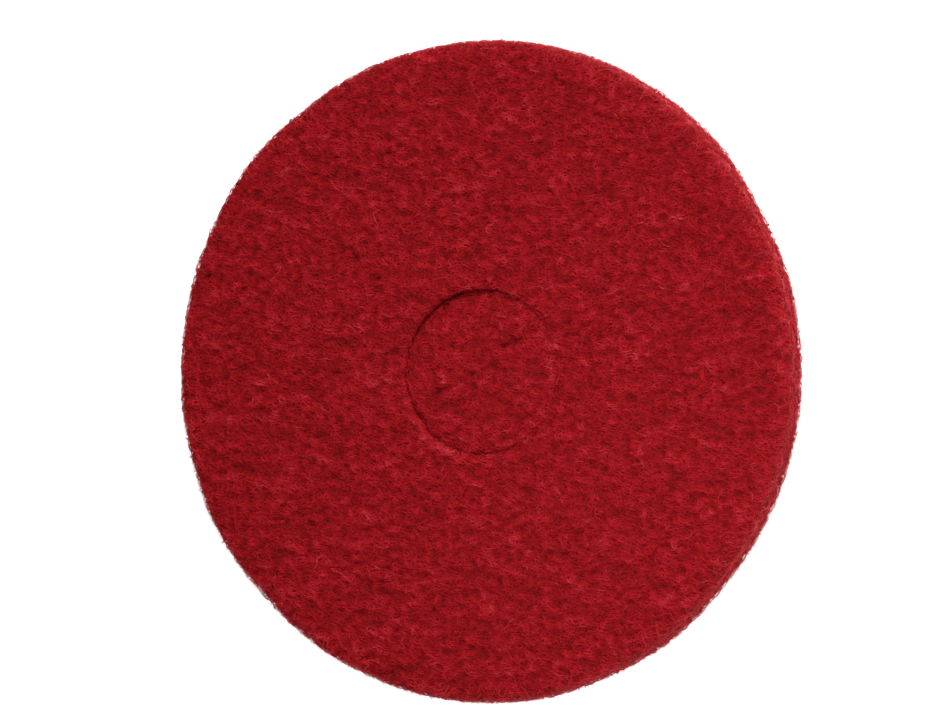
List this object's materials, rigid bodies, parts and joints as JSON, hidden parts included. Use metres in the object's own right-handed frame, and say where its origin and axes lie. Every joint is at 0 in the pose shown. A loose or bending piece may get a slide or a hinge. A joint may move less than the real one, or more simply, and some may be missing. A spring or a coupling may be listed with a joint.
{
  "type": "floor pad",
  "caption": "Round red non-woven fibre floor pad with a die-cut centre disc that pushes out to fit over a floor machine's centre lock.",
  "frame": {"origin": "centre of the lower face, which the pad rests on", "axes": "+Z is the axis that the pad spins about in use, out of the upper face; X and Y lie in the lower face"},
  "size_m": [0.33, 0.33, 0.022],
  "materials": {
    "fibre_web": "matte"
  },
  "bodies": {
    "pad": {"pad_ring": "fibre_web"},
    "plug": {"centre_plug": "fibre_web"}
  },
  "joints": [
    {"name": "plug_release", "type": "slide", "parent": "pad", "child": "plug", "axis": [0, 0, 1], "range_m": [0, 0.045]}
  ]
}
